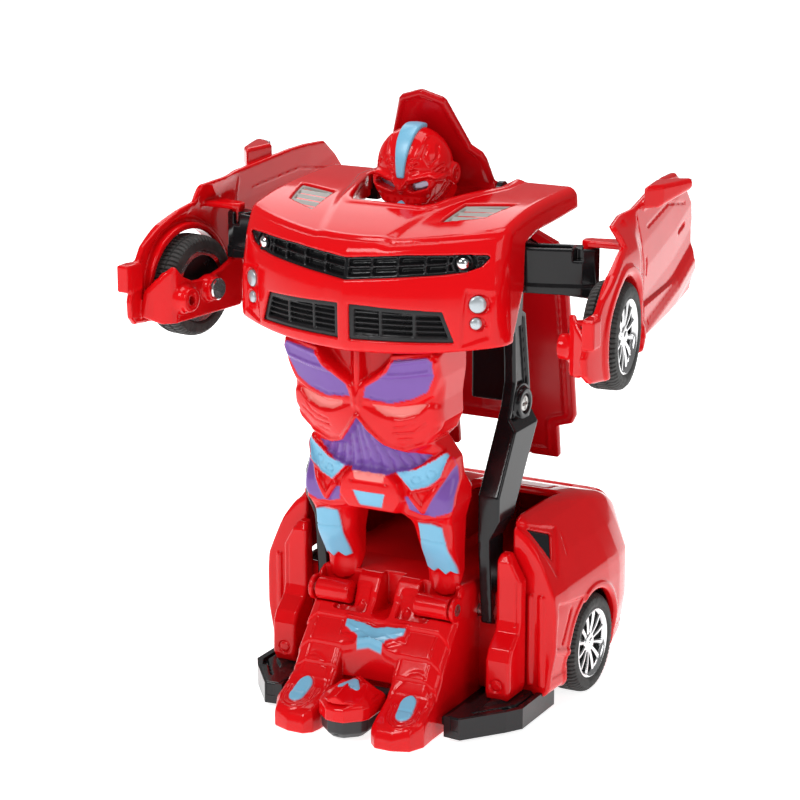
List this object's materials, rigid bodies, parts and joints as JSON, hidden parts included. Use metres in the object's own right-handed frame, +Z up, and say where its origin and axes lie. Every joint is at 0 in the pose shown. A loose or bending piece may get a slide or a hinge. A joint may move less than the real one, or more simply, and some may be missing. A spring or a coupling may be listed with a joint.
{
  "type": "transforming robot car toy",
  "caption": "Toy robot that folds down into a sports car: the chest and bonnet ride on parallel lift bars, the arms are the car's front wings with their doors and wheels.",
  "frame": {"origin": "middle of the footprint on the ground, under the standing robot", "axes": "+Z up, -Y the way the robot faces, +X towards the robot's left hand"},
  "size_m": [0.1238, 0.1048, 0.1494],
  "materials": {
    "red": "gloss",
    "dark_red": "gloss",
    "black": "satin",
    "rubber": "matte",
    "chrome": "polished",
    "steel": "satin",
    "sky": "satin",
    "violet": "satin",
    "silver": "metallic",
    "grey": "satin",
    "white": "satin",
    "brass": "satin",
    "smoke": "gloss",
    "lens": "gloss"
  },
  "bodies": {
    "base": {"chassis_plate": "black", "rear_shell": "red", "rear_deck": "red", "quarter_windows": "smoke", "tail_lights": "lens", "foot_block": "red", "foot_emblem": "sky", "toe_pads": "sky", "side_block_left": "red", "side_block_right": "red", "battery_cover": "black", "battery_cover_screw": "steel", "battery_cells": "steel", "motor": "steel", "ankle_pins": "steel"},
    "switch": {"power_switch": "black"},
    "rear_wheels": {"rear_axle": "steel", "axle_gear": "white", "rear_tyre_left": "rubber", "rear_tyre_right": "rubber", "rear_rim_left": "chrome", "rear_rim_right": "chrome"},
    "pinion": {"motor_pinion": "brass"},
    "trigger": {"trigger_block": "black", "trigger_cap": "red", "trigger_gem": "sky"},
    "torso": {"torso_shell": "red", "chest_inserts": "violet", "abs_insert": "violet", "belt_panels": "sky", "shin_pads": "sky"},
    "lift_arms": {"lift_arm_left": "black", "lift_arm_right": "black", "lift_shaft": "steel", "knee_screws": "steel"},
    "chest": {"chest_frame": "black", "chest_pins": "steel", "front_shell": "red", "main_grille": "black", "lower_grilles": "grey", "headlights": "chrome", "fog_lights": "silver", "hood_vents": "grey"},
    "roof": {"roof_panel": "dark_red", "windshield": "smoke", "head": "red", "head_crest": "sky", "eyes": "violet"},
    "arm_left": {"arm_beam_left": "black"},
    "arm_right": {"arm_beam_right": "black"},
    "fender_left": {"fender_left": "red", "mirror_glass_left": "silver"},
    "fender_right": {"fender_right": "red", "mirror_glass_right": "silver"},
    "wheel_left": {"front_tyre_left": "rubber", "front_rim_left": "chrome"},
    "wheel_right": {"front_tyre_right": "rubber", "front_rim_right": "chrome"}
  },
  "joints": [
    {"name": "lift_fold", "type": "hinge", "parent": "base", "child": "torso", "pos_m": [0, -0.02552, 0.0285], "axis": [1, 0, 0], "range_deg": [0, 100]},
    {"name": "chest_level", "type": "hinge", "parent": "torso", "child": "chest", "pos_m": [0, -0.02552, 0.10246], "axis": [1, 0, 0], "range_deg": [-100, 0]},
    {"name": "lift_arm_turn", "type": "hinge", "parent": "base", "child": "lift_arms", "pos_m": [0, -0.01252, 0.025], "axis": [1, 0, 0], "range_deg": [0, 100]},
    {"name": "roof_fold", "type": "hinge", "parent": "chest", "child": "roof", "pos_m": [0, 0.00298, 0.125], "axis": [1, 0, 0], "range_deg": [0, 76]},
    {"name": "shoulder_left", "type": "hinge", "parent": "chest", "child": "arm_left", "pos_m": [0.0265, -0.01952, 0.111], "axis": [0, 0, 1], "range_deg": [0, 67.3]},
    {"name": "elbow_left", "type": "hinge", "parent": "arm_left", "child": "fender_left", "pos_m": [0.04671, -0.01342, 0.111], "axis": [0, 0, -1], "range_deg": [0, 75.3]},
    {"name": "front_wheel_left", "type": "hinge", "parent": "fender_left", "child": "wheel_left", "pos_m": [0.0602, -0.02102, 0.0992], "axis": [0.9903, 0.1392, 0], "continuous": true},
    {"name": "shoulder_right", "type": "hinge", "parent": "chest", "child": "arm_right", "pos_m": [-0.0265, -0.01952, 0.111], "axis": [0, 0, -1], "range_deg": [0, 67.3]},
    {"name": "elbow_right", "type": "hinge", "parent": "arm_right", "child": "fender_right", "pos_m": [-0.04671, -0.01342, 0.111], "axis": [0, 0, 1], "range_deg": [0, 75.3]},
    {"name": "front_wheel_right", "type": "hinge", "parent": "fender_right", "child": "wheel_right", "pos_m": [-0.0602, -0.02102, 0.0992], "axis": [-0.9903, 0.1392, 0], "continuous": true},
    {"name": "rear_axle_spin", "type": "hinge", "parent": "base", "child": "rear_wheels", "pos_m": [0, 0.00928, 0.0124], "axis": [1, 0, 0], "continuous": true},
    {"name": "pinion_spin", "type": "hinge", "parent": "base", "child": "pinion", "pos_m": [0, -0.00052, 0.0124], "axis": [1, 0, 0], "continuous": true},
    {"name": "trigger_press", "type": "slide", "parent": "base", "child": "trigger", "axis": [0, 1, 0], "range_m": [0, 0.0025], "stiffness_N_per_m": 150, "springref_m": -0.002},
    {"name": "power_switch_slide", "type": "slide", "parent": "base", "child": "switch", "axis": [0, 1, 0], "range_m": [0, 0.003]}
  ],
  "couplings": [
    {"joint": "chest_level", "follows": "lift_fold", "ratio": -1},
    {"joint": "lift_arm_turn", "follows": "lift_fold", "ratio": 1},
    {"joint": "roof_fold", "follows": "lift_fold", "ratio": 0.76},
    {"joint": "shoulder_left", "follows": "lift_fold", "ratio": 0.67233},
    {"joint": "elbow_left", "follows": "lift_fold", "ratio": 0.75233},
    {"joint": "shoulder_right", "follows": "lift_fold", "ratio": 0.67233},
    {"joint": "elbow_right", "follows": "lift_fold", "ratio": 0.75233},
    {"joint": "pinion_spin", "follows": "rear_axle_spin", "ratio": -2.5}
  ]
}
